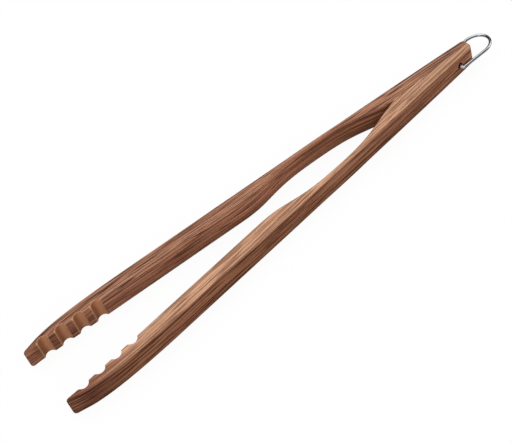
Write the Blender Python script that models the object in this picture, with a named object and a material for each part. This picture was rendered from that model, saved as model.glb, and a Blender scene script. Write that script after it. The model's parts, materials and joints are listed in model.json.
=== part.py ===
"""Wooden barbecue tongs: two sprung arms glued together at the head, and a wire hanging loop.

Metres, +Z up. The tongs lie the way they are used on a table, on the narrow sides of the wood.
X runs along them with the head at +X, Y goes across the jaws, and the origin is at table level
under the middle of the whole length. A station is a distance from the head end of the wood.
"""

import math

import bmesh
import bpy
import numpy as np
from mathutils import Matrix, Vector
from mathutils.geometry import interpolate_bezier

# Lengths of the wood, from the head end to the jaw tips
SEAM_LENGTH = 0.080
CROTCH_TO_NECK = 0.069
NECK_TO_SHOULDER = 0.086
STRAIGHT_LENGTH = 0.095
NOSE_LENGTH = 0.100

# Cross-section of the wood
STOCK_HEIGHT = 0.0185
HEAD_HALF_WIDTH = 0.0055
OUTER_BOW = 0.00115
JAW_THICKNESS = 0.0136
NECK_THICKNESS = 0.0038
TIP_THICKNESS = 0.0016
SPLAY_DEG = 5.05
JAW_SPLAY_DEG = 4.93

# Rounding of the wood
EDGE_ROUND = 0.0020
HEAD_CORNER_ROUND = 0.0028
HEAD_EDGE_ROUND = 0.0008
TIP_CORNER_ROUND = 0.0030
TIP_EDGE_ROUND = 0.0012

# Directions and pulls of the curves in the plan view of an arm
CROTCH_DEG = 7.2
TIP_DEG = 11.0
CROTCH_PULL_SHARE = 0.343
NECK_TO_CROTCH_PULL_SHARE = 0.54
NECK_TO_SHOULDER_PULL_SHARE = 0.656
SHOULDER_PULL_SHARE = 0.38
NOSE_PULL_SHARE = 0.866
TIP_PULL_SHARE = 0.104

# Scallops in the inner faces of the jaws
SCALLOP_COUNT = 4
SCALLOP_RADIUS = 0.0048
SCALLOP_DEPTH = 0.0041
TIP_LAND = 0.0120
SCALLOP_LAND = 0.0063

# Hanging loop, a bent wire whose two ends lie in a cross hole
WIRE_RADIUS = 0.00125
WIRE_BEND_RADIUS = 0.0015
WIRE_END_GAP = 0.0030
PIN_FROM_HEAD = 0.0162
LOOP_OPENING = 0.0201
LOOP_SIDE_GAP = 0.00225
LOOP_END_SHARE = 1.2

# Clearances
GLUE_GAP = 0.0003
FLEX_GAP = 0.0003
HOLE_CLEARANCE = 0.00125
PIN_SEAT_GAP = 0.00085
CUT_OVERRUN = 0.002
WELD = 0.000001

# Fineness of the solids
CURVE_POINTS = 49
CORNER_STEPS = 3
END_ROUND_STEPS = 4
SCALLOP_SIDES = 32
HOLE_SIDES = 24
BEND_STEPS = 6
LOOP_END_STEPS = 20
WIRE_BEVEL_RESOLUTION = 3
SHARP_EDGE_DEG = 35.0

# Colours, as linear red, green and blue
WOOD_LIGHT = (0.46, 0.235, 0.140)
WOOD_DARK = (0.36, 0.165, 0.100)
STEEL = (0.80, 0.80, 0.80)

# Worked out from the sizes above
CROTCH_STATION = SEAM_LENGTH
NECK_STATION = CROTCH_STATION + CROTCH_TO_NECK
SHOULDER_STATION = NECK_STATION + NECK_TO_SHOULDER
NOSE_STATION = SHOULDER_STATION + STRAIGHT_LENGTH
WOOD_LENGTH = NOSE_STATION + NOSE_LENGTH
SPLAY_SLOPE = math.tan(math.radians(SPLAY_DEG))
JAW_SLOPE = math.tan(math.radians(JAW_SPLAY_DEG))
BOW_SCALE = 27 / 4
SCALLOP_CHORD = 2 * math.sqrt(SCALLOP_DEPTH * (2 * SCALLOP_RADIUS - SCALLOP_DEPTH))
PIN_REACH = PIN_FROM_HEAD + LOOP_OPENING + WIRE_RADIUS
OVERHANG = PIN_REACH + WIRE_RADIUS - PIN_FROM_HEAD
HEAD_X = (WOOD_LENGTH + OVERHANG) / 2 - OVERHANG
PIN_X = HEAD_X - PIN_FROM_HEAD
NECK_X = HEAD_X - NECK_STATION
MID_HEIGHT = STOCK_HEIGHT / 2
PIN_HEIGHT = MID_HEIGHT - HOLE_CLEARANCE + PIN_SEAT_GAP
HOLE_RADIUS = WIRE_RADIUS + HOLE_CLEARANCE


def clear_scene():
    """Removes what the scene holds, so that the script can run again."""
    for thing in list(bpy.data.objects):
        bpy.data.objects.remove(thing)


def new_collection(name):
    collection = bpy.data.collections.new(name)
    bpy.context.scene.collection.children.link(collection)
    return collection


def new_material(name, colour, roughness, metallic):
    material = bpy.data.materials.new(name)
    material.use_nodes = True
    shader = material.node_tree.nodes["Principled BSDF"]
    shader.inputs["Base Color"].default_value = (*colour, 1.0)
    shader.inputs["Roughness"].default_value = roughness
    shader.inputs["Metallic"].default_value = metallic
    return material


def bezier(start, pull_out, pull_in, end):
    """Points of a cubic curve as (station, y) pairs, each pull being an offset from its end."""
    knots = [(*start, 0), (*pull_out, 0), (*pull_in, 0), (*end, 0)]
    first, out, back, last = (Vector(knot) for knot in knots)
    points = interpolate_bezier(first, first + out, last + back, last, CURVE_POINTS)
    return [(point.x, point.y) for point in points]


def outer_line(station):
    """Half width of the tongs at the outer face, bowed out a little, before the nose."""
    share = station / WOOD_LENGTH
    bow = OUTER_BOW * BOW_SCALE * share * (1 - share) ** 2
    return HEAD_HALF_WIDTH + station * SPLAY_SLOPE + bow


def outer_slope(station):
    share = station / WOOD_LENGTH
    bow_slope = OUTER_BOW * BOW_SCALE * (1 - share) * (1 - 3 * share) / WOOD_LENGTH
    return SPLAY_SLOPE + bow_slope


def inner_line(station):
    """Half width of the jaw gap at the straight inner face, past the shoulder."""
    at_nose = outer_line(NOSE_STATION) - JAW_THICKNESS
    return at_nose + (station - NOSE_STATION) * JAW_SLOPE


def inner_face():
    """The inner face in plan: the seam, the scooped neck, the shoulder and the straight jaw."""
    crotch = (CROTCH_STATION, 0)
    neck = (NECK_STATION, outer_line(NECK_STATION) - NECK_THICKNESS)
    neck_slope = outer_slope(NECK_STATION)
    shoulder = (SHOULDER_STATION, inner_line(SHOULDER_STATION))
    tip = (WOOD_LENGTH, inner_line(WOOD_LENGTH))

    crotch_pull = CROTCH_TO_NECK * CROTCH_PULL_SHARE
    neck_pull_back = CROTCH_TO_NECK * NECK_TO_CROTCH_PULL_SHARE
    neck_pull_on = NECK_TO_SHOULDER * NECK_TO_SHOULDER_PULL_SHARE
    shoulder_pull = NECK_TO_SHOULDER * SHOULDER_PULL_SHARE

    rise = crotch_pull * math.tan(math.radians(CROTCH_DEG))
    to_neck = bezier(
        crotch,
        (crotch_pull, rise),
        (-neck_pull_back, -neck_pull_back * neck_slope),
        neck,
    )
    to_shoulder = bezier(
        neck,
        (neck_pull_on, neck_pull_on * neck_slope),
        (-shoulder_pull, -shoulder_pull * JAW_SLOPE),
        shoulder,
    )
    return [(0, 0)] + to_neck + to_shoulder[1:] + [tip]


def nose_face():
    """The outer face of the nose in plan, curving in to the thin tip."""
    nose = (NOSE_STATION, outer_line(NOSE_STATION))
    tip = (WOOD_LENGTH, inner_line(WOOD_LENGTH) + TIP_THICKNESS)
    nose_pull = NOSE_LENGTH * NOSE_PULL_SHARE
    tip_pull = NOSE_LENGTH * TIP_PULL_SHARE
    tip_rise = tip_pull * math.tan(math.radians(TIP_DEG))
    return bezier(
        nose,
        (nose_pull, nose_pull * outer_slope(NOSE_STATION)),
        (-tip_pull, tip_rise),
        tip,
    )


INNER_FACE = np.array(inner_face())
NOSE_FACE = np.array(nose_face())
PIN_HALF_WIDTH = outer_line(PIN_FROM_HEAD)
LOOP_HALF_WIDTH = PIN_HALF_WIDTH + LOOP_SIDE_GAP + WIRE_RADIUS


def inner_y(station):
    """Distance of the inner face from the centre plane, or half the glue line in the head."""
    on_curve = np.interp(station, INNER_FACE[:, 0], INNER_FACE[:, 1])
    return max(float(on_curve), GLUE_GAP / 2)


def outer_y(station):
    """Distance of the outer face from the centre plane."""
    if station <= NOSE_STATION:
        return outer_line(station)
    return float(np.interp(station, NOSE_FACE[:, 0], NOSE_FACE[:, 1]))


def inset(distance, radius):
    """How far a quarter-round edge has drawn in at a distance from the end face."""
    if distance >= radius:
        return 0
    return radius - math.sqrt(distance * (2 * radius - distance))


def end_stations(radius):
    """Distances from an end face at which its quarter-round edge turns by equal angles."""
    steps = [step / END_ROUND_STEPS for step in range(END_ROUND_STEPS + 1)]
    return [radius * (1 - math.cos(turn * math.pi / 2)) for turn in steps]


def ring(station, side):
    """One closed section of an arm: a rectangle with rounded corners, square to X."""
    from_tip = WOOD_LENGTH - station
    low_y = inner_y(station)
    high_y = outer_y(station)
    wall = high_y - low_y

    low_y += inset(from_tip, min(TIP_EDGE_ROUND, wall * 0.25))
    high_y -= inset(from_tip, min(TIP_EDGE_ROUND, wall * 0.5))
    high_y -= inset(station, min(HEAD_CORNER_ROUND, wall * 0.5))
    low_z = inset(station, HEAD_EDGE_ROUND) + inset(from_tip, TIP_CORNER_ROUND)
    high_z = STOCK_HEIGHT - low_z

    outer_round = min(EDGE_ROUND, (high_y - low_y) * 0.45)
    inner_round = min(outer_round, low_y - GLUE_GAP / 2)
    corners = [
        (low_y, low_z, inner_round, math.pi),
        (high_y, low_z, outer_round, 1.5 * math.pi),
        (high_y, high_z, outer_round, 0),
        (low_y, high_z, inner_round, 0.5 * math.pi),
    ]
    x = HEAD_X - station
    points = []
    for y, z, radius, start_angle in corners:
        centre_y = y + radius if y == low_y else y - radius
        centre_z = z + radius if z == low_z else z - radius
        for step in range(CORNER_STEPS + 1):
            angle = start_angle + step / CORNER_STEPS * math.pi / 2
            across = centre_y + radius * math.cos(angle)
            points.append((x, side * across, centre_z + radius * math.sin(angle)))
    return points


def loft(name, rings):
    """A closed mesh through sections that have the same number of points."""
    shape = bmesh.new()
    loops = [[shape.verts.new(point) for point in points] for points in rings]
    count = len(loops[0])
    for here, there in zip(loops, loops[1:]):
        for i in range(count):
            after = (i + 1) % count
            shape.faces.new((here[i], here[after], there[after], there[i]))
    shape.faces.new(loops[0])
    shape.faces.new(loops[-1])
    bmesh.ops.remove_doubles(shape, verts=shape.verts, dist=WELD)
    bmesh.ops.recalc_face_normals(shape, faces=shape.faces)
    mesh = bpy.data.meshes.new(name)
    shape.to_mesh(mesh)
    shape.free()
    return mesh


def place(name, mesh, material, collection, pivot):
    """Links a mesh made in world coordinates, with its origin moved to the pivot's place."""
    mesh.transform(Matrix.Translation(-pivot.location))
    mesh.materials.append(material)
    mesh.shade_smooth()
    mesh.set_sharp_from_angle(angle=math.radians(SHARP_EDGE_DEG))
    thing = bpy.data.objects.new(name, mesh)
    thing.parent = pivot
    collection.objects.link(thing)
    return thing


def new_pivot(name, location, collection):
    pivot = bpy.data.objects.new(name, None)
    pivot.location = location
    pivot.empty_display_size = STOCK_HEIGHT
    collection.objects.link(pivot)
    return pivot


def cylinder_into(shape, radius, length, sides, matrix):
    bmesh.ops.create_cone(
        shape,
        cap_ends=True,
        segments=sides,
        radius1=radius,
        radius2=radius,
        depth=length,
        matrix=matrix,
    )


def new_cutter(name, shape, collection):
    mesh = bpy.data.meshes.new(name)
    shape.to_mesh(mesh)
    shape.free()
    cutter = bpy.data.objects.new(name, mesh)
    cutter.display_type = "WIRE"
    cutter.hide_render = True
    collection.objects.link(cutter)
    return cutter


def cut(thing, cutter):
    difference = thing.modifiers.new(cutter.name, "BOOLEAN")
    difference.operation = "DIFFERENCE"
    difference.solver = "EXACT"
    difference.object = cutter


def scallop_cutter(side, name, collection):
    """Upright cylinders that scoop the finger-like scallops out of one jaw's inner face."""
    shape = bmesh.new()
    stand_off = SCALLOP_RADIUS - SCALLOP_DEPTH
    splay = math.radians(JAW_SPLAY_DEG)
    for number in range(SCALLOP_COUNT):
        from_tip = TIP_LAND + SCALLOP_CHORD / 2 + number * (SCALLOP_CHORD + SCALLOP_LAND)
        station = WOOD_LENGTH - from_tip
        x = HEAD_X - station - stand_off * math.sin(splay)
        y = inner_line(station) - stand_off * math.cos(splay)
        centre = Matrix.Translation((x, side * y, MID_HEIGHT))
        height = STOCK_HEIGHT + 2 * CUT_OVERRUN
        cylinder_into(shape, SCALLOP_RADIUS, height, SCALLOP_SIDES, centre)
    return new_cutter(name, shape, collection)


def pin_hole_cutter(collection):
    """The cross hole through both halves of the head."""
    shape = bmesh.new()
    lie_along_y = Matrix.Rotation(math.radians(90), 4, "X")
    centre = Matrix.Translation((PIN_X, 0, MID_HEIGHT)) @ lie_along_y
    length = 2 * (PIN_HALF_WIDTH + CUT_OVERRUN)
    cylinder_into(shape, HOLE_RADIUS, length, HOLE_SIDES, centre)
    return new_cutter("pin_hole_cutter", shape, collection)


def spread(start, end, spacing):
    """Stations from start to end, both included, about one spacing apart."""
    count = max(1, round((end - start) / spacing))
    return [start + (end - start) * step / count for step in range(count + 1)]


def head_stations():
    """Close together at the rounded head end and where the inner face scoops away."""
    flex_face = NECK_STATION - FLEX_GAP / 2
    grip = spread(HEAD_CORNER_ROUND, CROTCH_STATION, SEAM_LENGTH / 5)
    scoop = spread(CROTCH_STATION, flex_face, CROTCH_TO_NECK / 16)
    head_end = end_stations(HEAD_CORNER_ROUND) + end_stations(HEAD_EDGE_ROUND)
    return sorted(set(head_end + grip + scoop))


def jaw_stations():
    """Close together along the scoop and the nose, and at the rounded tip."""
    flex_face = NECK_STATION + FLEX_GAP / 2
    scoop = spread(flex_face, SHOULDER_STATION, NECK_TO_SHOULDER / 18)
    straight = spread(SHOULDER_STATION, NOSE_STATION, STRAIGHT_LENGTH / 5)
    nose = spread(NOSE_STATION, WOOD_LENGTH - TIP_CORNER_ROUND, NOSE_LENGTH / 22)
    tip = end_stations(TIP_CORNER_ROUND) + end_stations(TIP_EDGE_ROUND)
    tip = [WOOD_LENGTH - distance for distance in tip]
    return sorted(set(scoop + straight + nose + tip))


def make_arm(side, word, wood, parts, cutters, pin_hole):
    """One arm of the tongs, cut at its thin neck, where the wood bends as a spring."""
    head_pivot = bpy.data.objects["tongs_frame"]
    head_rings = [ring(station, side) for station in head_stations()]
    head = place(f"{word}_head", loft(f"{word}_head", head_rings), wood, parts, head_pivot)
    cut(head, pin_hole)

    neck_y = outer_line(NECK_STATION) - NECK_THICKNESS / 2
    flex_axis = Vector((NECK_X, side * neck_y, MID_HEIGHT))
    flex_pivot = new_pivot(f"{word}_flex", flex_axis, parts)
    jaw_rings = [ring(station, side) for station in jaw_stations()]
    jaw = place(f"{word}_jaw", loft(f"{word}_jaw", jaw_rings), wood, parts, flex_pivot)
    cut(jaw, scallop_cutter(side, f"{word}_scallop_cutter", cutters))


def loop_path():
    """Centre line of the wire from one end in the hole, round the loop, to the other end."""
    bend_x = WIRE_BEND_RADIUS
    bend_y = LOOP_HALF_WIDTH - WIRE_BEND_RADIUS
    end_length = LOOP_HALF_WIDTH * LOOP_END_SHARE
    leg_end = PIN_REACH - end_length

    half = [(0, WIRE_END_GAP / 2)]
    for step in range(BEND_STEPS + 1):
        angle = step / BEND_STEPS * math.pi / 2
        x = bend_x - WIRE_BEND_RADIUS * math.cos(angle)
        half.append((x, bend_y + WIRE_BEND_RADIUS * math.sin(angle)))
    for step in range(LOOP_END_STEPS // 2 + 1):
        angle = step / LOOP_END_STEPS * math.pi
        x = leg_end + end_length * math.sin(angle)
        half.append((x, LOOP_HALF_WIDTH * math.cos(angle)))
    other_half = [(x, -y) for x, y in reversed(half[:-1])]
    return half + other_half


def make_hanging_loop(steel, parts):
    """A round wire on a curve, lying level in line with the arms, low in its loose hole."""
    pivot = new_pivot("loop_pivot", (PIN_X, 0, PIN_HEIGHT), parts)
    wire = bpy.data.curves.new("hanging_loop", "CURVE")
    wire.dimensions = "3D"
    wire.bevel_depth = WIRE_RADIUS
    wire.bevel_resolution = WIRE_BEVEL_RESOLUTION
    wire.use_fill_caps = True
    path = loop_path()
    spline = wire.splines.new("POLY")
    spline.points.add(len(path) - 1)
    for point, (x, y) in zip(spline.points, path):
        point.co = (x, y, 0, 1)
    spline.use_smooth = True
    wire.materials.append(steel)
    loop = bpy.data.objects.new("hanging_loop", wire)
    loop.parent = pivot
    parts.objects.link(loop)


def main():
    clear_scene()
    parts = new_collection("barbecue_tongs")
    cutters = new_collection("cutters")
    dark_wood = new_material("acacia_dark", WOOD_DARK, 0.55, 0.0)
    light_wood = new_material("acacia_light", WOOD_LIGHT, 0.55, 0.0)
    steel = new_material("polished_steel", STEEL, 0.15, 1.0)

    new_pivot("tongs_frame", (0, 0, 0), parts)
    pin_hole = pin_hole_cutter(cutters)
    make_arm(1, "right", dark_wood, parts, cutters, pin_hole)
    make_arm(-1, "left", light_wood, parts, cutters, pin_hole)
    make_hanging_loop(steel, parts)
    bpy.context.view_layer.update()


main()
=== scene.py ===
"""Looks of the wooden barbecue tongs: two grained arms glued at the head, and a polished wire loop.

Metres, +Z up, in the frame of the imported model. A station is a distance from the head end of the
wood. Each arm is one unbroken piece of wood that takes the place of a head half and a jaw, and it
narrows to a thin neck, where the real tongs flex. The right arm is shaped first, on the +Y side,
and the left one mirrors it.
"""

import json
import math

import bmesh
import bpy
import numpy as np
from mathutils import Matrix, Vector
from mathutils.geometry import interpolate_bezier


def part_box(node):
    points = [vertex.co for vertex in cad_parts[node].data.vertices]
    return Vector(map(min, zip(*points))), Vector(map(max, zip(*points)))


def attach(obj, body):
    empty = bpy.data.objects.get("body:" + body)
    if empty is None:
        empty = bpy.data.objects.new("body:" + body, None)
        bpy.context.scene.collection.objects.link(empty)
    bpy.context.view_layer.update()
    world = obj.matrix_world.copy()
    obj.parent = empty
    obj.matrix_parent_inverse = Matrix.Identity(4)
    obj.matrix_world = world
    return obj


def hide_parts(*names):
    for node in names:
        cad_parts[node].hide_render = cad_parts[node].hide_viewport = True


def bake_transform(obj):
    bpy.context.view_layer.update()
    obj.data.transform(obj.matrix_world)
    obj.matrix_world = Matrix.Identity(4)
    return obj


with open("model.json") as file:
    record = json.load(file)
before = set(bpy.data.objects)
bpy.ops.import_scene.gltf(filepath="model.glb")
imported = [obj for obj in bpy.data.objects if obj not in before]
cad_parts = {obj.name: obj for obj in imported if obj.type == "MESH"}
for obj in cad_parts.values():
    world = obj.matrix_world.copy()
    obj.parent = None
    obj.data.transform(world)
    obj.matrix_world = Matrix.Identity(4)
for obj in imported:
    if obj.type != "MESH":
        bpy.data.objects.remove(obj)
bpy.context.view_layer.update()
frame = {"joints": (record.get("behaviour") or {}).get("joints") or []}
_, HEAD_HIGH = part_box("right_head")
JAW_LOW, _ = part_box("right_jaw")
_, LOOP_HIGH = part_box("hanging_loop")
JOINTS = {joint["name"]: joint for joint in frame["joints"]}

# Places that the frame gives
HEAD_X = HEAD_HIGH.x
TIP_X = JAW_LOW.x
WOOD_LENGTH = HEAD_X - TIP_X
STOCK_HEIGHT = HEAD_HIGH.z
MID_HEIGHT = STOCK_HEIGHT / 2
NECK_X = JOINTS["right_arm_flex"]["pos_m"][0]
PIN_X = JOINTS["loop_swing"]["pos_m"][0]
PIN_HEIGHT = JOINTS["loop_swing"]["pos_m"][2]

# Lengths along the wood
SEAM_LENGTH = 0.080
NOSE_LENGTH = 0.100
NECK_TO_SHOULDER = 0.086
NECK_STATION = HEAD_X - NECK_X
CROTCH_TO_NECK = NECK_STATION - SEAM_LENGTH
SHOULDER_STATION = NECK_STATION + NECK_TO_SHOULDER
NOSE_STATION = WOOD_LENGTH - NOSE_LENGTH

# Cross-section of the wood
HEAD_HALF_WIDTH = 0.0055
OUTER_BOW = 0.00115
BOW_SCALE = 27 / 4  # share * (1 - share) ** 2 is at most 4 / 27
JAW_THICKNESS = 0.0136
NECK_THICKNESS = 0.0038
TIP_THICKNESS = 0.0016
SPLAY_SLOPE = math.tan(math.radians(5.05))
JAW_SPLAY = math.radians(4.93)
GLUE_LINE = 0.00008

# Rounding of the wood
EDGE_ROUND = 0.0020
SEAM_EDGE_ROUND = 0.0002
HEAD_CORNER_ROUND = 0.0028
HEAD_EDGE_ROUND = 0.0008
TIP_CORNER_ROUND = 0.0030
TIP_EDGE_ROUND = 0.0012
SHADING_MARGIN = 0.0004

# The most of a wall's thickness that each rounding may take
INNER_TIP_SHARE = 0.25
OUTER_END_SHARE = 0.5
LONG_EDGE_SHARE = 0.42
MARGIN_SHARE = 0.05
LEAST_DRAWN_IN = 0.1

# Pulls and directions of the curves in the plan view of an arm
CROTCH_SLOPE = math.tan(math.radians(7.2))
TIP_SLOPE = math.tan(math.radians(11))
CROTCH_PULL_SHARE = 0.343
NECK_TO_CROTCH_PULL_SHARE = 0.54
NECK_TO_SHOULDER_PULL_SHARE = 0.656
SHOULDER_PULL_SHARE = 0.38
NOSE_PULL_SHARE = 0.866
TIP_PULL_SHARE = 0.104

# Scallops in the inner faces of the jaws
SCALLOP_COUNT = 4
SCALLOP_RADIUS = 0.0048
SCALLOP_DEPTH = 0.0041
SCALLOP_RIM_ROUND = 0.0007
SCALLOP_EDGE_ROUND = 0.0004
TIP_LAND = 0.0120
SCALLOP_LAND = 0.0063
SCALLOP_CHORD = 2 * math.sqrt(SCALLOP_DEPTH * (2 * SCALLOP_RADIUS - SCALLOP_DEPTH))
SCALLOP_PITCH = SCALLOP_CHORD + SCALLOP_LAND

# Marks for the material: a scallop's wall ends and its rim starts at these turns of a corner. The
# rim mark places a painted highlight.
SCALLOP_WALL_TURN = math.radians(89)
SCALLOP_RIM_TURN = math.radians(20)
SCALLOP_RIM_DEPTH = 0.0001

# Hanging loop
WIRE_RADIUS = 0.00125
WIRE_BEND_RADIUS = 0.0015
WIRE_END_GAP = 0.0030
WIRE_PLAY = 0.00125
HOLE_RADIUS = WIRE_RADIUS + WIRE_PLAY
LOOP_END_SHARE = 1.2

# Fineness of the meshes
CURVE_POINTS = 97
CORNER_STEPS = 7
END_ROUND_STEPS = 7
RING_SPACING = 0.0025
SCALLOP_STEPS = 28
HOLE_SIDES = 48
BEND_STEPS = 12
LOOP_END_STEPS = 48
WIRE_SIDES = 32
STATION_DECIMALS = 7
ARM_SHARP_DEGREES = 40
WIRE_SHARP_DEGREES = 50

# The photograph's camera, from a fit to the outlines of the wood
CAMERA_ANGLES_DEG = (-22.884, 46.536, -21.390)
CAMERA_AIM = (-0.0277, -0.0020, 0.0092)
CAMERA_DISTANCE = 0.99935
CLIP_START = CAMERA_DISTANCE / 20
SENSOR_WIDTH_MM = 36.0
LENS_MM = 91.406

# What polished metal mirrors: a dark studio with a white ceiling and upright pale panels,
# each given as its direction round the object, its half angle and its share of the brightness
CEILING_FROM = (0.80, 0.88)
CEILING_STRENGTH = 1.4
ROOM_STRENGTH = 0.01
PALE_PANELS = (
    (math.radians(-14), math.radians(20), 1.0),
    (math.radians(207), math.radians(13), 0.5),
    (math.radians(50), math.radians(6), 0.5),
)
PANEL_EDGE = math.radians(4)

# Stage and light. Each lamp aims at the origin and has its place, its size and its power.
SKY_STRENGTH = 0.60
FLOOR_SIZE = 4.0
FLOOR_MATTE = 0.06
FLOOR_MIRRORED = 0.3
LAMPS = {
    "key": ((-0.5, 0.9, 1.6), (1.2, 1.2), 12.0),
    "front": ((-0.4, -1.1, 0.75), (1.0, 0.6), 3.4),
    "end": ((1.5, -0.5, 0.35), (0.8, 0.6), 9.0),
}

# Grain: features to the metre along the arm, across it and upwards, and where each one shows
WANDER_PER_METRE = (6.0, 40.0, 40.0)
BROAD_PER_METRE = (9.0, 160.0, 160.0)
STREAKS_PER_METRE = (16.0, 1050.0, 1050.0)
VEINS_PER_METRE = (6.0, 560.0, 560.0)
PORES_PER_METRE = (120.0, 3200.0, 3200.0)
GRAIN_WANDER = 0.006
RING_SHARE = 0.55
STREAK_SHARE = 0.8
STREAK_ROUGHNESS = 0.8
TONE_RANGE = (0.30, 0.70)
STREAK_RANGE = (0.48, 0.58)
VEIN_RANGE = (0.015, 0.05)
PORE_RANGE = (0.60, 0.70)

# Surface of the oiled wood
WOOD_SPECULAR = 0.2
WOOD_ROUGHNESS = 0.52
LATE_WOOD_ROUGHER = 0.10
BUMP_STRENGTH = 0.5
PORE_DEPTH = 0.00008
LINE_DEPTH_SHARE = 0.4

# How far up a surface points where it turns from a side to the top, over the rounded arris. The
# painted light and shade of the sides and arrises follow these.
SIDE_TO_TOP = (0.1, 0.6)
SIDE_TO_ARRIS = (0.40, 0.60)
ARRIS_TO_TOP = (0.80, 0.98)

# Where the tints fade, along the arm and above the table, where the painted shade at the foot fades
HEAD_HALF_FROM = (0.0, 0.060)
HEAD_TOP_FROM = (HEAD_X - 0.075, HEAD_X - 0.040)
END_FROM = (HEAD_X - 0.012, HEAD_X - 0.003)
WORN_TIP_TO = (TIP_X + 0.002, TIP_X + 0.018)
PAINTED_FOOT_SHADE_HEIGHT = 0.0045

# As a tint, white leaves a tone as it is
WHITE = (1.0, 1.0, 1.0)

# Cut wood in the scallops, with painted shade towards their tip side and a painted highlight on
# their rims, painted shade in the cross hole, the pores, and how much of each shows
CUT_PALE = (0.79, 0.38, 0.20)
CUT_PAINTED_SHADE = (0.40, 0.167, 0.074)
RIM_PAINTED_HIGHLIGHT = (0.85, 0.52, 0.28)
CUT_DEPTHS = (0.0001, 0.0006)
CUT_SHADE_RANGE = (-0.55, 0.5)
CUT_SHARE = 0.9
RIM_HIGHLIGHT_SHARE = 0.42
HOLE_PAINTED_SHADE_SHARE = 0.85
HOLE_BLUR = 0.0003
PORE_SHARE = 0.45

# Polished wire, the satin bend, and painted shade on the ends that lie in the cross hole
STEEL = (0.72, 0.73, 0.75)
STEEL_MARKED = (0.62, 0.63, 0.65)
STEEL_BEND = (0.80, 0.80, 0.82)
STEEL_PAINTED_HOLE_SHADE = (0.06, 0.03, 0.018)
HOLE_SHADE_TO = (0.0078, 0.0088)
MARKS_PER_METRE = 900.0
MARK_RANGE = (0.35, 0.7)
POLISH_ROUGHNESS = 0.04
MARKS_ROUGHER = 0.05
BEND_ROUGHER = 0.4
BEND_METALLIC = 0.3

# The two boards. The pith is the middle of the log, beside the stock. Tones are linear red,
# green and blue, and each tint multiplies them.
DARK_BOARD = {
    "pith": (0.0, 0.060, -0.045),
    "ring_width": 0.0016,
    "seed": 1.9,
    "pale": (0.615, 0.310, 0.191),
    "middle": (0.525, 0.247, 0.148),
    "dark": (0.360, 0.152, 0.084),
    "line": (0.085, 0.031, 0.017),
    "line_strength": 1.0,
    "side_lines": -0.12,
    # Painted light and shade: the side tints lift the sides, and the outer tint darkens the outer
    # side again
    "side_tint": (1.19, 1.08, 1.04),
    "head_side_tint": (0.99, 0.91, 0.82),
    "outer_tint": (0.80, 0.75, 0.75),
    "inner_tint": (1.0, 1.0, 1.0),
    # Painted shade on the outer arris; the inner one is left as it is
    "outer_arris": (0.50, 0.47, 0.47),
    "inner_arris": (1.0, 1.0, 1.0),
    "head_tint": (0.90, 0.92, 0.95),
    "end_tint": (1.0, 1.0, 1.0),
    "tip_length": 0.100,
    "tip_tint": (0.94, 0.90, 0.90),
    "tip_side_tint": (0.60, 0.56, 0.56),
    # Painted shade on the wood near the table
    "foot_tint": (0.95, 0.92, 0.90),
    # The colour of the pores, and of the painted shade in the cross hole
    "pore": (0.07, 0.025, 0.015),
}
LIGHT_BOARD = {
    "pith": (0.0, -0.055, -0.050),
    "ring_width": 0.0018,
    "seed": 2.6,
    "pale": (0.765, 0.440, 0.279),
    "middle": (0.705, 0.392, 0.240),
    "dark": (0.56, 0.282, 0.165),
    "line": (0.19, 0.078, 0.040),
    "line_strength": 0.86,
    "side_lines": 0.5,
    # Painted light and shade: the side tints darken the sides, and the inner tint lifts the inner
    # side again
    "side_tint": (0.67, 0.50, 0.425),
    "head_side_tint": (0.71, 0.56, 0.51),
    "outer_tint": (1.0, 1.0, 1.0),
    "inner_tint": (1.40, 1.50, 1.60),
    # Painted shade on the inner arris; the outer one is left as it is
    "outer_arris": (1.0, 1.0, 1.0),
    "inner_arris": (0.42, 0.39, 0.38),
    "head_tint": (0.85, 0.85, 0.84),
    "end_tint": (1.35, 1.55, 1.7),
    "tip_length": 0.070,
    "tip_tint": (0.46, 0.31, 0.31),
    "tip_side_tint": (0.50, 0.42, 0.41),
    # Painted shade on the wood near the table
    "foot_tint": (0.50, 0.45, 0.42),
    # The colour of the pores, and of the painted shade in the cross hole
    "pore": (0.08, 0.03, 0.018),
}


def bezier(start, pull_out, pull_in, end):
    """Points of a cubic curve as (station, y) pairs, each pull being an offset from its end."""
    first, out, back, last = (Vector((*knot, 0)) for knot in (start, pull_out, pull_in, end))
    points = interpolate_bezier(first, first + out, last + back, last, CURVE_POINTS)
    return [(point.x, point.y) for point in points]


def outer_line(station):
    """Half width of the tongs at the outer face, bowed out a little, before the nose."""
    share = station / WOOD_LENGTH
    bow = OUTER_BOW * BOW_SCALE * share * (1 - share) ** 2
    return HEAD_HALF_WIDTH + station * SPLAY_SLOPE + bow


def outer_slope(station):
    """How steeply the outer face leads outwards, before the nose."""
    share = station / WOOD_LENGTH
    bow_slope = OUTER_BOW * BOW_SCALE * (1 - share) * (1 - 3 * share) / WOOD_LENGTH
    return SPLAY_SLOPE + bow_slope


def inner_line(station):
    """Half width of the jaw gap at the straight inner face, past the shoulder."""
    at_nose = outer_line(NOSE_STATION) - JAW_THICKNESS
    return at_nose + (station - NOSE_STATION) * math.tan(JAW_SPLAY)


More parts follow.
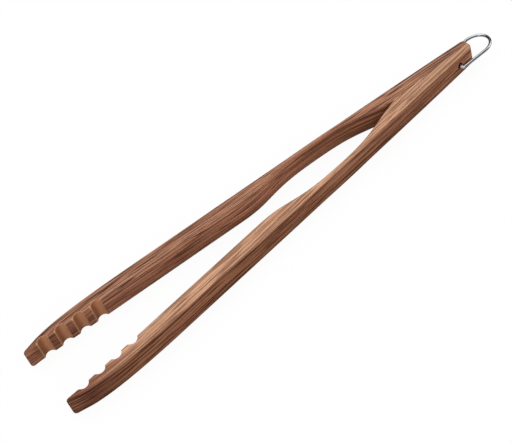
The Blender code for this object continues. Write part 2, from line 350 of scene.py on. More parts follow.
def inner_face():
    """The inner face in plan: the seam, the scooped neck, the shoulder and the straight jaw."""
    neck_slope = outer_slope(NECK_STATION)
    crotch_pull = CROTCH_TO_NECK * CROTCH_PULL_SHARE
    back_pull = CROTCH_TO_NECK * NECK_TO_CROTCH_PULL_SHARE
    on_pull = NECK_TO_SHOULDER * NECK_TO_SHOULDER_PULL_SHARE
    shoulder_pull = NECK_TO_SHOULDER * SHOULDER_PULL_SHARE
    neck = (NECK_STATION, outer_line(NECK_STATION) - NECK_THICKNESS)
    to_neck = bezier(
        (SEAM_LENGTH, 0),
        (crotch_pull, crotch_pull * CROTCH_SLOPE),
        (-back_pull, -back_pull * neck_slope),
        neck,
    )
    to_shoulder = bezier(
        neck,
        (on_pull, on_pull * neck_slope),
        (-shoulder_pull, -shoulder_pull * math.tan(JAW_SPLAY)),
        (SHOULDER_STATION, inner_line(SHOULDER_STATION)),
    )
    return [(0, 0)] + to_neck + to_shoulder[1:] + [(WOOD_LENGTH, inner_line(WOOD_LENGTH))]


def nose_face():
    """The outer face of the nose in plan, curving in to the thin tip."""
    nose_pull = NOSE_LENGTH * NOSE_PULL_SHARE
    tip_pull = NOSE_LENGTH * TIP_PULL_SHARE
    return bezier(
        (NOSE_STATION, outer_line(NOSE_STATION)),
        (nose_pull, nose_pull * outer_slope(NOSE_STATION)),
        (-tip_pull, tip_pull * TIP_SLOPE),
        (WOOD_LENGTH, inner_line(WOOD_LENGTH) + TIP_THICKNESS),
    )


INNER_FACE = np.array(inner_face())
NOSE_FACE = np.array(nose_face())


def inner_y(station):
    """Distance of the inner face from the centre plane."""
    on_curve = np.interp(station, INNER_FACE[:, 0], INNER_FACE[:, 1])
    return max(float(on_curve), GLUE_LINE)


def outer_y(station):
    """Distance of the outer face from the centre plane."""
    if station <= NOSE_STATION:
        return outer_line(station)
    return float(np.interp(station, NOSE_FACE[:, 0], NOSE_FACE[:, 1]))


def inset(distance, radius):
    """How far a quarter-round edge has drawn in at a distance from the end face."""
    if distance >= radius:
        return 0
    return radius - math.sqrt(max(distance * (2 * radius - distance), 0))


def end_distances(radius):
    """Distances from an end face at which its quarter-round edge turns by equal angles."""
    steps = [step / END_ROUND_STEPS for step in range(END_ROUND_STEPS + 1)]
    return [radius * (1 - math.cos(turn * math.pi / 2)) for turn in steps]


def grain_offset(station, y, turn, inner):
    """Where a point lies across the grain, counted from the outer face, whose curve the grain
    follows. It stays the same along the inner face, so the lines there run along the arm too."""
    offset = y - outer_y(station)
    if not inner:
        return offset
    on_top = math.sin(turn)
    return offset * on_top - JAW_THICKNESS * (1 - on_top)


def ring(station):
    """A section of the right arm: its points, how far each has turned round its corner, in
    radians, whether it belongs to the inner face, and its place across the grain. Each corner
    is worked out from its wall to its edge, so every second one is turned to go on round."""
    from_tip = WOOD_LENGTH - station
    low_y = inner_y(station)
    high_y = outer_y(station)
    wall = high_y - low_y
    low_y += inset(from_tip, min(TIP_EDGE_ROUND, wall * INNER_TIP_SHARE))
    high_y -= inset(from_tip, min(TIP_EDGE_ROUND, wall * OUTER_END_SHARE))
    high_y -= inset(station, min(HEAD_CORNER_ROUND, wall * OUTER_END_SHARE))
    low_z = inset(station, HEAD_EDGE_ROUND) + inset(from_tip, TIP_CORNER_ROUND)

    wall = high_y - low_y
    outer_round = min(EDGE_ROUND, wall * LONG_EDGE_SHARE)
    inner_round = min(outer_round, low_y - GLUE_LINE + SEAM_EDGE_ROUND)
    margin = min(SHADING_MARGIN, wall * MARGIN_SHARE)
    half_height = MID_HEIGHT - low_z
    quarters = [
        (low_y, 1, inner_round, -1),
        (high_y, -1, outer_round, -1),
        (high_y, -1, outer_round, 1),
        (low_y, 1, inner_round, 1),
    ]
    turns = [step / CORNER_STEPS * math.pi / 2 for step in range(CORNER_STEPS + 1)]
    points = []
    for number, (face_y, inwards, radius, upwards) in enumerate(quarters):
        edge_z = MID_HEIGHT + upwards * half_height
        corner = [(face_y, edge_z - upwards * (radius + margin), 0)]
        for turn in turns:
            y = face_y + inwards * radius * (1 - math.cos(turn))
            z = edge_z - upwards * radius * (1 - math.sin(turn))
            corner.append((y, z, turn))
        corner.append((face_y + inwards * (radius + margin), edge_z, math.pi / 2))
        if number % 2:
            corner.reverse()
        points += [(y, z, turn, inwards > 0) for y, z, turn in corner]
    x = HEAD_X - station
    return [
        ((x, y, z), turn, inner, grain_offset(station, y, turn, inner))
        for y, z, turn, inner in points
    ]


def drawn_in(points, distance):
    """The same end section drawn in towards its middle, which keeps the flat end face flat."""
    middle = sum((Vector(place) for place, *_ in points), Vector()) / len(points)
    moved = []
    for place, *marks in points:
        away = Vector(place) - middle
        share = max(LEAST_DRAWN_IN, 1 - distance / max(away.length, distance))
        moved.append((tuple(middle + away * share), *marks))
    return moved


def scallop_distances():
    """Distances from the tip at which the wood needs a section, close together on each rim."""
    rim_start, arc_turn = scallop_rim()
    found = []
    for number in range(SCALLOP_COUNT):
        centre = TIP_LAND + SCALLOP_CHORD / 2 + number * SCALLOP_PITCH
        for step in range(SCALLOP_STEPS + 1):
            turn = (step / SCALLOP_STEPS - 0.5) * 2 * arc_turn
            found.append(centre + SCALLOP_RADIUS * math.sin(turn))
        for step in range(1, CORNER_STEPS + 1):
            turn = arc_turn * (1 - step / CORNER_STEPS)
            reach = rim_start - SCALLOP_RIM_ROUND * math.sin(turn)
            found += [centre - reach, centre + reach]
        margin = rim_start + SHADING_MARGIN
        found += [centre - margin, centre + margin]
    return found


def scallop_rim():
    """How far from a scallop's centre its rounded rim leaves the flat face, and the angle at
    which it meets the arc."""
    stand_off = SCALLOP_RADIUS - SCALLOP_DEPTH
    both = SCALLOP_RADIUS + SCALLOP_RIM_ROUND
    start = math.sqrt(both**2 - (stand_off + SCALLOP_RIM_ROUND) ** 2)
    return start, math.asin(start / both)


def stations():
    """Stations of all the sections of an arm, from the head end to the tip."""
    count = round(WOOD_LENGTH / RING_SPACING)
    found = [WOOD_LENGTH * step / count for step in range(1, count)]
    clear = [TIP_LAND / 2, TIP_LAND + SCALLOP_COUNT * SCALLOP_PITCH]
    found = [s for s in found if not clear[0] < WOOD_LENGTH - s < clear[1]]
    found += [WOOD_LENGTH - distance for distance in scallop_distances()]
    found += end_distances(HEAD_CORNER_ROUND) + end_distances(HEAD_EDGE_ROUND)
    for radius in (TIP_CORNER_ROUND, TIP_EDGE_ROUND):
        found += [WOOD_LENGTH - distance for distance in end_distances(radius)]
    return sorted({round(station, STATION_DECIMALS) for station in found})


def scene_object(name, data):
    thing = bpy.data.objects.new(name, data)
    bpy.context.scene.collection.objects.link(thing)
    return thing


def loft_arm(name):
    """The right arm as one closed skin, before the scallops and the cross hole are cut."""
    rings = [ring(station) for station in stations()]
    rings = [drawn_in(rings[0], SHADING_MARGIN)] + rings + [drawn_in(rings[-1], SHADING_MARGIN)]
    count = len(rings[0])
    points = [point for section in rings for point in section]
    vertices = [place for place, *_ in points]
    faces = []
    for row in range(len(rings) - 1):
        for i in range(count):
            here = row * count + i
            after = row * count + (i + 1) % count
            faces.append((here, after, after + count, here + count))
    faces.append(tuple(range(count)))
    faces.append(tuple(range(len(vertices) - count, len(vertices))))
    mesh = bpy.data.meshes.new(name)
    mesh.from_pydata(vertices, [], faces)
    for number, label in enumerate(("corner_turn", "inner_face", "grain_across"), start=1):
        mark = mesh.attributes.new(label, "FLOAT", "POINT")
        mark.data.foreach_set("value", [float(point[number]) for point in points])
    return scene_object(name, mesh)


class NodeMaker:
    """Adds nodes to a tree and links them, for both geometry and materials."""

    def __init__(self, tree):
        self.tree = tree

    def add(self, kind, inputs=None, **settings):
        node = self.tree.nodes.new(kind)
        for name, value in settings.items():
            setattr(node, name, value)
        for name, value in (inputs or {}).items():
            self.feed(node.inputs[name], value)
        return node

    def feed(self, socket, value):
        """Links a socket or sets its constant. A colour of three numbers becomes opaque."""
        if isinstance(value, bpy.types.NodeSocket):
            self.tree.links.new(value, socket)
        elif socket.type == "RGBA" and len(value) == 3:
            socket.default_value = (*value, 1.0)
        else:
            socket.default_value = value

    def run(self, kind, values, **settings):
        """Adds a node, feeds its open inputs in turn, and gives its first open output."""
        node = self.add(kind, **settings)
        open_inputs = [socket for socket in node.inputs if socket.enabled]
        for socket, value in zip(open_inputs, values):
            self.feed(socket, value)
        return next(socket for socket in node.outputs if socket.enabled)

    def math(self, operation, *values):
        return self.run("ShaderNodeMath", values, operation=operation)

    def vector(self, operation, *values):
        return self.run("ShaderNodeVectorMath", values, operation=operation)

    def mix(self, factor, first, second, blend="MIX"):
        values = (factor, first, second)
        return self.run("ShaderNodeMix", values, data_type="RGBA", blend_type=blend)

    def tint(self, colour, share, tint):
        """The colour multiplied by as much of the tint as the share says."""
        return self.mix(1.0, colour, self.mix(share, WHITE, tint), "MULTIPLY")

    def split(self, vector):
        return self.add("ShaderNodeSeparateXYZ", {0: vector}).outputs

    def rest(self, share):
        """What a share leaves of 1."""
        return self.math("SUBTRACT", 1.0, share)

    def rise(self, value, low, high):
        """0 below low, 1 above high, and a smooth rise between them."""
        inputs = {"Value": value, "From Min": low, "From Max": high}
        node = self.add("ShaderNodeMapRange", inputs, interpolation_type="SMOOTHSTEP")
        return node.outputs["Result"]

    def fall(self, value, low, high):
        """1 below low, 0 above high, and a smooth fall between them."""
        return self.rest(self.rise(value, low, high))

    def noise(self, place, per_metre, seed, detail, roughness=0.5, output="Fac"):
        """Noise with so many features to the metre in each direction."""
        place = self.vector("MULTIPLY", place, per_metre)
        inputs = {"Vector": place, "W": seed, "Scale": 1.0}
        inputs |= {"Detail": detail, "Roughness": roughness}
        node = self.add("ShaderNodeTexNoise", inputs, noise_dimensions="4D")
        return node.outputs[output]

    def mark(self, label):
        """A value stored on the mesh, for a material."""
        return self.add("ShaderNodeAttribute", attribute_name=label).outputs["Fac"]

    def stored(self, label):
        """A value stored on the mesh, for a geometry tree."""
        inputs = {"Name": label}
        node = self.add("GeometryNodeInputNamedAttribute", inputs, data_type="FLOAT")
        return node.outputs[0]


def new_group(name, kind, inputs, outputs):
    """A node group with named sockets, given as (name, socket type, value) and (name, type)."""
    tree = bpy.data.node_groups.new(name, kind)
    for label, socket_type, value in inputs:
        socket = tree.interface.new_socket(label, in_out="INPUT", socket_type=socket_type)
        if value is not None:
            socket.default_value = value
    for label, socket_type in outputs:
        tree.interface.new_socket(label, in_out="OUTPUT", socket_type=socket_type)
    source = tree.nodes.new("NodeGroupInput")
    sink = tree.nodes.new("NodeGroupOutput")
    return tree, source.outputs, sink.inputs


def modify(thing, tree, material):
    """Runs an object through a geometry tree with a material, and keeps the plain result."""
    modifier = thing.modifiers.new(tree.name, "NODES")
    modifier.node_group = tree
    for item in tree.interface.items_tree:
        if item.name == "Material":
            modifier[item.identifier] = material
    return keep_result(thing)


def keep_result(thing):
    """Replaces an object's mesh, or a whole curve object, by what its modifiers make of it."""
    graph = bpy.context.evaluated_depsgraph_get()
    mesh = bpy.data.meshes.new_from_object(thing.evaluated_get(graph), depsgraph=graph)
    if thing.type == "MESH":
        thing.modifiers.clear()
        thing.data = mesh
        return thing
    name = thing.name
    bpy.data.objects.remove(thing)
    return scene_object(name, mesh)


def paint(make, shape, given, made):
    """Ends a geometry tree with a real mesh in the material that the tree was given."""
    real = make.add("GeometryNodeRealizeInstances", {0: shape}).outputs[0]
    inputs = {"Geometry": real, "Material": given["Material"]}
    make.feed(made["Geometry"], make.add("GeometryNodeSetMaterial", inputs).outputs[0])


def scallop_tree():
    """Presses a row of equal round scallops into the inner face of a jaw, with rounded rims."""
    tree, given, made = new_group(
        "scallop_row",
        "GeometryNodeTree",
        [
            ("Geometry", "NodeSocketGeometry", None),
            ("Count", "NodeSocketFloat", SCALLOP_COUNT),
            ("Pitch", "NodeSocketFloat", SCALLOP_PITCH),
            ("First Centre", "NodeSocketFloat", TIP_X + TIP_LAND + SCALLOP_CHORD / 2),
            ("Radius", "NodeSocketFloat", SCALLOP_RADIUS),
            ("Depth", "NodeSocketFloat", SCALLOP_DEPTH),
            ("Rim Round", "NodeSocketFloat", SCALLOP_RIM_ROUND),
            ("Rim Spread", "NodeSocketFloat", SHADING_MARGIN / 2),
            ("Edge Round", "NodeSocketFloat", SCALLOP_EDGE_ROUND),
            ("Wood Edge Round", "NodeSocketFloat", EDGE_ROUND),
            ("Splay", "NodeSocketFloat", JAW_SPLAY),
            ("Mid Height", "NodeSocketFloat", MID_HEIGHT),
            ("Material", "NodeSocketMaterial", None),
        ],
        [("Geometry", "NodeSocketGeometry")],
    )
    make = NodeMaker(tree)
    x, _, z = make.split(make.add("GeometryNodeInputPosition").outputs[0])
    inner = make.stored("inner_face")
    turn = make.stored("corner_turn")
    towards_head = from_scallop_centre(make, given, x)
    off_centre = make.math("ABSOLUTE", towards_head)
    depth, start, meets_arc = scallop_profile(make, given, off_centre)
    depth = make.math("MAXIMUM", make.math("MULTIPLY", depth, inner), 0.0)
    inwards, upwards = scallop_push(make, given, depth, turn, z)
    across_x = make.math("MULTIPLY", inwards, make.math("SINE", given["Splay"]))
    across_y = make.math("MULTIPLY", inwards, make.math("COSINE", given["Splay"]))
    offset = make.add("ShaderNodeCombineXYZ", {0: across_x, 1: across_y, 2: upwards})

    on_wall = make.math("MULTIPLY", make.math("LESS_THAN", turn, SCALLOP_WALL_TURN), inner)
    rim_side = make.math("MULTIPLY", make.math("LESS_THAN", towards_head, 0.0), on_wall)
    past_rim = make.math("ADD", start, given["Rim Spread"])
    in_band = make.math("LESS_THAN", off_centre, past_rim)
    in_band = make.math("MULTIPLY", in_band, make.math("GREATER_THAN", off_centre, meets_arc))
    is_cut = make.math("GREATER_THAN", depth, SCALLOP_RIM_DEPTH)
    on_corner = make.math("GREATER_THAN", turn, SCALLOP_RIM_TURN)
    in_band = make.math("MAXIMUM", in_band, make.math("MULTIPLY", on_corner, is_cut))
    # The rim mark places a painted highlight on the tip side of each scallop
    marks = {
        "scallop_depth": make.math("MULTIPLY", depth, on_wall),
        "scallop_side": make.math("DIVIDE", towards_head, given["Radius"]),
        "scallop_rim": make.math("MULTIPLY", in_band, rim_side),
        "grain_across": make.math("ADD", make.stored("grain_across"), inwards),
    }
    wood = given["Geometry"]
    for label, value in marks.items():
        inputs = {"Geometry": wood, "Name": label, "Value": value}
        wood = make.add("GeometryNodeStoreNamedAttribute", inputs, data_type="FLOAT").outputs[0]
    pressed = make.add("GeometryNodeSetPosition", {"Geometry": wood, "Offset": offset.outputs[0]})
    paint(make, pressed.outputs[0], given, made)
    return tree


def from_scallop_centre(make, given, x):
    """How far a place lies on the head's side of the nearest scallop's centre."""
    along = make.math("SUBTRACT", x, given["First Centre"])
    number = make.math("ROUND", make.math("DIVIDE", along, given["Pitch"]))
    number = make.math("MAXIMUM", number, 0.0)
    number = make.math("MINIMUM", number, make.math("SUBTRACT", given["Count"], 1.0))
    return make.math("SUBTRACT", along, make.math("MULTIPLY", number, given["Pitch"]))


def scallop_profile(make, given, off_centre):
    """A scallop's depth, and how far from its centre its rim starts and meets the arc."""
    radius, rim = given["Radius"], given["Rim Round"]
    stand_off = make.math("SUBTRACT", radius, given["Depth"])
    both = make.math("ADD", radius, rim)
    lift = make.math("ADD", stand_off, rim)
    start = make.math("SQRT", squares(make, both, lift))
    meets_arc = make.math("DIVIDE", make.math("MULTIPLY", start, radius), both)
    arc = make.math("SUBTRACT", make.math("SQRT", squares(make, radius, off_centre)), stand_off)
    past = make.math("SUBTRACT", start, off_centre)
    fillet = make.math("SUBTRACT", rim, make.math("SQRT", squares(make, rim, past)))
    fillet = make.math("MULTIPLY", fillet, make.math("LESS_THAN", off_centre, start))
    in_arc = make.math("LESS_THAN", off_centre, meets_arc)
    depth = make.add("GeometryNodeSwitch", {0: in_arc, 1: fillet, 2: arc}, input_type="FLOAT")
    return depth.outputs[0], start, meets_arc


def scallop_push(make, given, depth, turn, z):
    """How far the skin moves inwards and upwards, with a crisper edge round the scallop."""
    sharper = make.math("SUBTRACT", given["Wood Edge Round"], given["Edge Round"])
    sharper = make.math("MINIMUM", sharper, depth)
    from_face = make.rest(make.math("COSINE", turn))
    from_edge = make.rest(make.math("SINE", turn))
    inwards = make.math("SUBTRACT", depth, make.math("MULTIPLY", sharper, from_face))
    upwards = make.math("SIGN", make.math("SUBTRACT", z, given["Mid Height"]))
    upwards = make.math("MULTIPLY", upwards, make.math("MULTIPLY", sharper, from_edge))
    return inwards, upwards


def squares(make, long, short):
    """The square of one length less the square of another, never below zero."""
    long, short = (make.math("POWER", length, 2.0) for length in (long, short))
    return make.math("MAXIMUM", make.math("SUBTRACT", long, short), 0.0)


def bore_pin_hole(arm):
    """Cuts the cross hole for the wire through one half of the head."""
    shape = bmesh.new()
    lie_along_y = Matrix.Rotation(math.radians(90), 4, "X")
    centre = Matrix.Translation((PIN_X, 0, MID_HEIGHT)) @ lie_along_y
    bmesh.ops.create_cone(
        shape,
        cap_ends=True,
        segments=HOLE_SIDES,
        radius1=HOLE_RADIUS,
        radius2=HOLE_RADIUS,
        depth=4 * outer_line(SEAM_LENGTH),
        matrix=centre,
    )
    mesh = bpy.data.meshes.new("pin_hole")
    shape.to_mesh(mesh)
    shape.free()
    cutter = scene_object("pin_hole", mesh)
    bore = arm.modifiers.new("pin_hole", "BOOLEAN")
    bore.operation = "DIFFERENCE"
    bore.solver = "EXACT"
    bore.object = cutter
    keep_result(arm)
    bpy.data.objects.remove(cutter)


def point_outwards(thing):
    """Turns all the faces of a closed mesh outwards."""
    shape = bmesh.new()
    shape.from_mesh(thing.data)
    bmesh.ops.recalc_face_normals(shape, faces=shape.faces)
    shape.to_mesh(thing.data)
    shape.free()


def finish_mesh(thing, sharp_degrees):
    """Points the faces outwards and shades them smooth, but for the sharp edges."""
    point_outwards(thing)
    thing.data.shade_smooth()
    thing.data.set_sharp_from_angle(angle=math.radians(sharp_degrees))


def make_arm(word, wood, carve, mirrored):
    """One whole arm, which takes the place of its head half and its jaw, with the thin neck where
    the real tongs flex.
    """
    arm = loft_arm(f"{word}_arm_wood")
    modify(arm, carve, wood)
    point_outwards(arm)
    bore_pin_hole(arm)
    if mirrored:
        arm.data.transform(Matrix.Scale(-1, 4, (0, 1, 0)))
    finish_mesh(arm, ARM_SHARP_DEGREES)
    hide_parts(f"{word}_head", f"{word}_jaw")
    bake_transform(arm)


def loop_path():
    """Centre line of the wire, from one end in the hole, round the loop, to the other end."""
    half_width = LOOP_HIGH.y - WIRE_RADIUS
    reach = LOOP_HIGH.x - WIRE_RADIUS - PIN_X
    bend_y = half_width - WIRE_BEND_RADIUS
    end_length = half_width * LOOP_END_SHARE
    leg_end = reach - end_length
    half = [(0, WIRE_END_GAP / 2)]
    for step in range(BEND_STEPS + 1):
        angle = step / BEND_STEPS * math.pi / 2
        x = WIRE_BEND_RADIUS * (1 - math.cos(angle))
        half.append((x, bend_y + WIRE_BEND_RADIUS * math.sin(angle)))
    for step in range(LOOP_END_STEPS // 2 + 1):
        angle = step / LOOP_END_STEPS * math.pi
        half.append((leg_end + end_length * math.sin(angle), half_width * math.cos(angle)))
    both = half + [(x, -y) for x, y in reversed(half[:-1])]
    return [(PIN_X + x, y, PIN_HEIGHT) for x, y in both]


def wire_tree():
    """A round wire along a curve."""
    tree, given, made = new_group(
        "round_wire",
        "GeometryNodeTree",
        [
            ("Geometry", "NodeSocketGeometry", None),
            ("Radius", "NodeSocketFloat", WIRE_RADIUS),
            ("Sides", "NodeSocketInt", WIRE_SIDES),
            ("Material", "NodeSocketMaterial", None),
        ],
        [("Geometry", "NodeSocketGeometry")],
    )
    make = NodeMaker(tree)
    section = make.add(
        "GeometryNodeCurvePrimitiveCircle",
        {"Radius": given["Radius"], "Resolution": given["Sides"]},
    )
    tube = make.add(
        "GeometryNodeCurveToMesh",
        {"Curve": given["Geometry"], "Profile Curve": section.outputs[0], "Fill Caps": True},
    )
    paint(make, tube.outputs[0], given, made)
    return tree


def make_loop(steel):
    """The bent wire that the tongs hang by."""
    path = loop_path()
    line = bpy.data.curves.new("hanging_loop_wire", "CURVE")
    line.dimensions = "3D"
    spline = line.splines.new("POLY")
    spline.points.add(len(path) - 1)
    for point, place in zip(spline.points, path):
        point.co = (*place, 1)
    loop = modify(scene_object("hanging_loop_wire", line), wire_tree(), steel)
    finish_mesh(loop, WIRE_SHARP_DEGREES)
    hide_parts("hanging_loop")
    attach(loop, "loop")


def grain_group():
    """Wood grain that runs along the arm: growth rings round a pith beside the stock, fine
    streaks and open pores. Tone is 0 on pale early wood and 1 on dark late wood."""
    group, given, made = new_group(
        "wood_grain",
        "ShaderNodeTree",
        [
            ("Pith", "NodeSocketVector", DARK_BOARD["pith"]),
            ("Ring Width", "NodeSocketFloat", DARK_BOARD["ring_width"]),
            ("Wander", "NodeSocketFloat", GRAIN_WANDER),
            ("Seed", "NodeSocketFloat", DARK_BOARD["seed"]),
        ],
        [("Tone", "NodeSocketFloat"), ("Lines", "NodeSocketFloat"), ("Pores", "NodeSocketFloat")],
    )
    make = NodeMaker(group)
    seed = given["Seed"]
    x, _, z = make.split(make.add("ShaderNodeTexCoord").outputs["Object"])
    inputs = {0: x, 1: make.mark("grain_across"), 2: z}
    place = make.add("ShaderNodeCombineXYZ", inputs).outputs[0]
    slow = make.noise(place, WANDER_PER_METRE, seed, detail=2.0, output="Color")
    slow = make.vector("SUBTRACT", slow, (0.5, 0.5, 0.5))
    wandering = make.vector("ADD", place, make.vector("SCALE", slow, given["Wander"]))

    from_pith = make.vector("SUBTRACT", wandering, given["Pith"])
    from_pith = make.vector("LENGTH", make.vector("MULTIPLY", from_pith, (0.0, 1.0, 1.0)))
    ring_number = make.math("ADD", make.math("DIVIDE", from_pith, given["Ring Width"]), seed)
    inputs = {"W": ring_number, "Scale": 1.0, "Detail": 2.0, "Roughness": 0.5}
    rings = make.add("ShaderNodeTexNoise", inputs, noise_dimensions="1D").outputs[0]
    broad = make.noise(place, BROAD_PER_METRE, seed, detail=1.0)
    broad = make.math("MULTIPLY", broad, 1.0 - RING_SHARE)
    tone = make.math("MULTIPLY_ADD", rings, RING_SHARE, broad)
    make.feed(made["Tone"], make.rise(tone, *TONE_RANGE))

    streaks = make.noise(
        wandering, STREAKS_PER_METRE, seed, detail=2.0, roughness=STREAK_ROUGHNESS
    )
    streaks = make.math("MULTIPLY", make.rise(streaks, *STREAK_RANGE), STREAK_SHARE)
    veins = make.noise(wandering, VEINS_PER_METRE, seed, detail=1.0)
    veins = make.math("ABSOLUTE", make.math("SUBTRACT", veins, 0.5))
    make.feed(made["Lines"], make.math("MAXIMUM", streaks, make.fall(veins, *VEIN_RANGE)))
    pores = make.noise(place, PORES_PER_METRE, 0.0, detail=1.0)
    make.feed(made["Pores"], make.rise(pores, *PORE_RANGE))
    return group


def lined_wood(make, figure, look, at):
    """Pale early wood and darker late wood, under the dark lines of the grain."""
    ramp = make.add("ShaderNodeValToRGB", {0: figure["Tone"]})
    stops = ramp.color_ramp.elements
    stops[0].color = (*look["pale"], 1)
    stops[1].color = (*look["dark"], 1)
    stops.new(0.5).color = (*look["middle"], 1)
    share = make.math("MULTIPLY_ADD", at["side"], look["side_lines"], look["line_strength"])
    share = make.math("MINIMUM", make.math("MULTIPLY", figure["Lines"], share), 1.0)
    return make.mix(share, ramp.outputs[0], look["line"])


def paint_face_shading(make, colour, look, at):
    """Painted light and shade on the sides, which differ between head and jaw, and painted shade on
    the arrises between side and top.
    """
    head_half = make.rise(at["x"], *HEAD_HALF_FROM)
    # Painted light and shade on the sides, by how far each surface faces sideways
    side_tint = make.mix(head_half, look["side_tint"], look["head_side_tint"])
    colour = make.tint(colour, at["side"], side_tint)
    inner = make.mark("inner_face")
    face_painted_shading = make.mix(inner, look["outer_tint"], look["inner_tint"])
    colour = make.tint(colour, at["side"], face_painted_shading)
    # Painted shade on the rounded arrises between side and top
    arris = make.fall(at["up"], *ARRIS_TO_TOP)
    arris = make.math("MULTIPLY", arris, make.rise(at["up"], *SIDE_TO_ARRIS))
    arris_painted_shade = make.mix(inner, look["outer_arris"], look["inner_arris"])
    return make.tint(colour, arris, arris_painted_shade)


def tint_ends(make, colour, look, at):
    """The end and the top of the head, the dark nose with its worn tip, and painted shade along the
    foot.
    """
    x, side = at["x"], at["side"]
    near_end = make.math("MULTIPLY", make.rise(x, *END_FROM), side)
    colour = make.tint(colour, near_end, look["end_tint"])
    near_head = make.math("MULTIPLY", make.rise(x, *HEAD_TOP_FROM), make.rest(side))
    colour = make.tint(colour, near_head, look["head_tint"])
    near_tip = make.fall(x, TIP_X, TIP_X + look["tip_length"])
    worn_tip = make.math("MULTIPLY", make.fall(x, *WORN_TIP_TO), side)
    near_tip = make.math("MULTIPLY", near_tip, make.rest(worn_tip))
    tip_tint = make.mix(side, look["tip_tint"], look["tip_side_tint"])
    colour = make.tint(colour, near_tip, tip_tint)
    # Painted shade: the wood darkens towards the table, where less light reaches the lower edges
    low = make.fall(at["z"], 0.0, PAINTED_FOOT_SHADE_HEIGHT)
    return make.tint(colour, low, look["foot_tint"])


def show_cuts_and_painted_light(make, colour, look, at):
    """Cut wood in the scallops with painted shade towards their tip side, a painted highlight on
    their rims, and painted shade on the wall of the cross hole.
    """
    cut = make.rise(make.mark("scallop_depth"), *CUT_DEPTHS)
    # Painted shade: each scallop's wall darkens towards its tip side, where light reaches it less
    shade = make.rise(make.mark("scallop_side"), *CUT_SHADE_RANGE)
    cut_colour = make.mix(shade, CUT_PAINTED_SHADE, CUT_PALE)
    colour = make.mix(make.math("MULTIPLY", cut, CUT_SHARE), colour, cut_colour)
    # Painted highlight along the rim on the tip side of each scallop
    rim = make.math("MULTIPLY", make.mark("scallop_rim"), RIM_HIGHLIGHT_SHARE)
    colour = make.mix(rim, colour, RIM_PAINTED_HIGHLIGHT)
    # Painted shade on the wall of the cross hole, in the pores' dark colour
    from_pin = make.vector("MULTIPLY", at["place"], (1.0, 0.0, 1.0))
    from_pin = make.vector("DISTANCE", from_pin, (PIN_X, 0.0, MID_HEIGHT))
    hole_painted_shade = make.fall(from_pin, HOLE_RADIUS, HOLE_RADIUS + HOLE_BLUR)
    return make.mix(make.math("MULTIPLY", hole_painted_shade, HOLE_PAINTED_SHADE_SHARE), colour, look["pore"])


def wood_material(name, grain, look):
    """Oiled wood. The look gives a board's tones, its tints and its place in the log."""
    material = bpy.data.materials.new(name)
    material.use_nodes = True
    make = NodeMaker(material.node_tree)
    values = {
        "Pith": look["pith"],
        "Ring Width": look["ring_width"],
        "Wander": GRAIN_WANDER,
        "Seed": look["seed"],
    }
    figure = make.add("ShaderNodeGroup", values, node_tree=grain).outputs
    coords = make.add("ShaderNodeTexCoord").outputs
    x, _, z = make.split(coords["Object"])
    facing_up = make.split(coords["Normal"])[2]
    side = make.fall(make.math("ABSOLUTE", facing_up), *SIDE_TO_TOP)
    at = {"place": coords["Object"], "x": x, "z": z, "up": facing_up, "side": side}

    colour = lined_wood(make, figure, look, at)
    colour = paint_face_shading(make, colour, look, at)
    colour = tint_ends(make, colour, look, at)
    colour = show_cuts_and_painted_light(make, colour, look, at)
    pores = make.math("MULTIPLY", figure["Pores"], PORE_SHARE)
    colour = make.mix(pores, colour, look["pore"])
    rough = make.math("MULTIPLY_ADD", figure["Tone"], LATE_WOOD_ROUGHER, WOOD_ROUGHNESS)
    line_depth = make.math("MULTIPLY", figure["Lines"], LINE_DEPTH_SHARE)
    height = make.math("SUBTRACT", make.rest(figure["Pores"]), line_depth)
    bump = {"Height": height, "Strength": BUMP_STRENGTH, "Distance": PORE_DEPTH}
    shader = material.node_tree.nodes["Principled BSDF"]
    make.feed(shader.inputs["Base Color"], colour)
    make.feed(shader.inputs["Roughness"], rough)
    make.feed(shader.inputs["Specular IOR Level"], WOOD_SPECULAR)
    make.feed(shader.inputs["Normal"], make.add("ShaderNodeBump", bump).outputs[0])
    return material


def steel_material():
    """Polished round wire with faint drawing marks, satin where it bends into the wood, and painted
    shade on its ends in the cross hole.
    """
    material = bpy.data.materials.new("drawn_wire_polish")
    material.use_nodes = True
    make = NodeMaker(material.node_tree)
    shader = material.node_tree.nodes["Principled BSDF"]
    place = make.add("ShaderNodeTexCoord").outputs["Object"]
    inputs = {"Vector": place, "Scale": MARKS_PER_METRE, "Detail": 2.0}
    marks = make.rise(make.add("ShaderNodeTexNoise", inputs).outputs[0], *MARK_RANGE)
    colour = make.mix(marks, STEEL, STEEL_MARKED)
    along, across, _ = make.split(place)
    leg = make.rise(along, PIN_X, PIN_X + WIRE_BEND_RADIUS)
    # Painted shade: the wire's ends inside the cross hole go near black
    outside = make.rise(make.math("ABSOLUTE", across), *HOLE_SHADE_TO)
    bend_colour_with_hole_shade = make.mix(outside, STEEL_PAINTED_HOLE_SHADE, STEEL_BEND)
    colour = make.mix(leg, bend_colour_with_hole_shade, colour)
    make.feed(shader.inputs["Base Color"], colour)
    metallic = make.math("MULTIPLY_ADD", leg, 1.0 - BEND_METALLIC, BEND_METALLIC)
    make.feed(shader.inputs["Metallic"], metallic)
    rough = make.math("MULTIPLY_ADD", marks, MARKS_ROUGHER, POLISH_ROUGHNESS)
    satin = make.math("MULTIPLY_ADD", leg, -BEND_ROUGHER, BEND_ROUGHER)
    make.feed(shader.inputs["Roughness"], make.math("ADD", rough, satin))
    return material


def seen_directly(make, rays):
    """1 on rays from the camera, also through glass."""
    return make.math("MAXIMUM", rays["Is Camera Ray"], rays["Is Transmission Ray"])


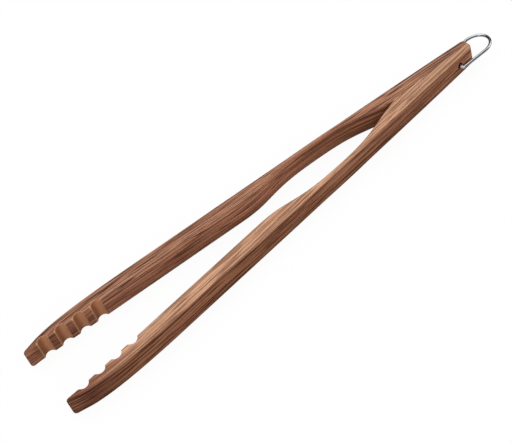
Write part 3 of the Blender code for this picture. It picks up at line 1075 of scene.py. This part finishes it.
def make_floor():
    """A plain pale floor that keeps the soft shadow and throws little light back up."""
    shape = bmesh.new()
    bmesh.ops.create_grid(shape, x_segments=1, y_segments=1, size=FLOOR_SIZE)
    mesh = bpy.data.meshes.new("floor")
    shape.to_mesh(mesh)
    shape.free()
    floor = scene_object("floor", mesh)
    material = bpy.data.materials.new("floor")
    material.use_nodes = True
    tree = material.node_tree
    make = NodeMaker(tree)
    tree.nodes.remove(tree.nodes["Principled BSDF"])
    rays = make.add("ShaderNodeLightPath").outputs
    mirrored = make.math("MULTIPLY", rays["Is Glossy Ray"], FLOOR_MIRRORED)
    seen = make.math("MAXIMUM", seen_directly(make, rays), mirrored)
    matte = make.add("ShaderNodeBsdfDiffuse", {"Color": [FLOOR_MATTE] * 3}).outputs[0]
    strength = make.math("MULTIPLY", seen, 1.0 - FLOOR_MATTE)
    glow = make.add("ShaderNodeEmission", {"Strength": strength}).outputs[0]
    both = make.add("ShaderNodeAddShader", {0: matte, 1: glow}).outputs[0]
    make.feed(tree.nodes["Material Output"].inputs["Surface"], both)
    mesh.materials.append(material)


def make_world():
    """White to the camera, a studio in metal's reflections, and a soft even sky for the light."""
    world = bpy.data.worlds.new("studio")
    bpy.context.scene.world = world
    world.use_nodes = True
    tree = world.node_tree
    make = NodeMaker(tree)
    rays = make.add("ShaderNodeLightPath").outputs
    direction = make.add("ShaderNodeTexCoord").outputs["Generated"]
    mirrored = make.rise(make.split(direction)[2], *CEILING_FROM)
    level = make.vector("NORMALIZE", make.vector("MULTIPLY", direction, (1.0, 1.0, 0.0)))
    for turn, half_angle, share in PALE_PANELS:
        middle = (math.cos(turn), math.sin(turn), 0.0)
        edge = math.cos(half_angle + PANEL_EDGE), math.cos(half_angle - PANEL_EDGE)
        panel = make.rise(make.vector("DOT_PRODUCT", level, middle), *edge)
        mirrored = make.math("MAXIMUM", mirrored, make.math("MULTIPLY", panel, share))
    mirrored = make.math("MULTIPLY_ADD", mirrored, CEILING_STRENGTH, ROOM_STRENGTH)
    seen = seen_directly(make, rays)
    plain = make.math("MULTIPLY_ADD", seen, 1.0 - SKY_STRENGTH, SKY_STRENGTH)
    plain = make.math("MULTIPLY", make.rest(rays["Is Glossy Ray"]), plain)
    mirrored = make.math("MULTIPLY", rays["Is Glossy Ray"], mirrored)
    back = tree.nodes["Background"]
    make.feed(back.inputs["Color"], WHITE)
    make.feed(back.inputs["Strength"], make.math("ADD", plain, mirrored))


def area_light(name, location, size, power):
    lamp = bpy.data.lights.new(name, "AREA")
    lamp.energy = power
    lamp.shape = "RECTANGLE"
    lamp.size, lamp.size_y = size
    light = scene_object(name, lamp)
    light.location = location
    light.rotation_euler = (-Vector(location)).to_track_quat("-Z", "Y").to_euler()
    light.visible_glossy = False


def make_camera():
    """The photograph's view: from the jaws' side, from above, and leaning over to the left."""
    azimuth, elevation, roll = (math.radians(angle) for angle in CAMERA_ANGLES_DEG)
    back = Vector((
        math.sin(azimuth) * math.cos(elevation),
        -math.cos(azimuth) * math.cos(elevation),
        math.sin(elevation),
    ))
    camera = bpy.data.cameras.new("camera")
    camera.sensor_width = SENSOR_WIDTH_MM
    camera.lens = LENS_MM
    camera.clip_start = CLIP_START
    stand = scene_object("camera", camera)
    stand.location = Vector(CAMERA_AIM) + back * CAMERA_DISTANCE
    stand.rotation_mode = "QUATERNION"
    level = back.to_track_quat("Z", "Y")
    stand.rotation_quaternion = level @ Matrix.Rotation(roll, 3, "Z").to_quaternion()
    bpy.context.scene.camera = stand

def main():
    bpy.context.scene.view_settings.view_transform = "Standard"
    make_camera()
    make_world()
    make_floor()
    for name, (location, size, power) in LAMPS.items():
        area_light(name, location, size, power)

    grain = grain_group()
    carve = scallop_tree()
    dark_wood = wood_material("dark_acacia_grain", grain, DARK_BOARD)
    light_wood = wood_material("light_acacia_grain", grain, LIGHT_BOARD)
    make_arm("right", dark_wood, carve, mirrored=False)
    make_arm("left", light_wood, carve, mirrored=True)
    make_loop(steel_material())


main()
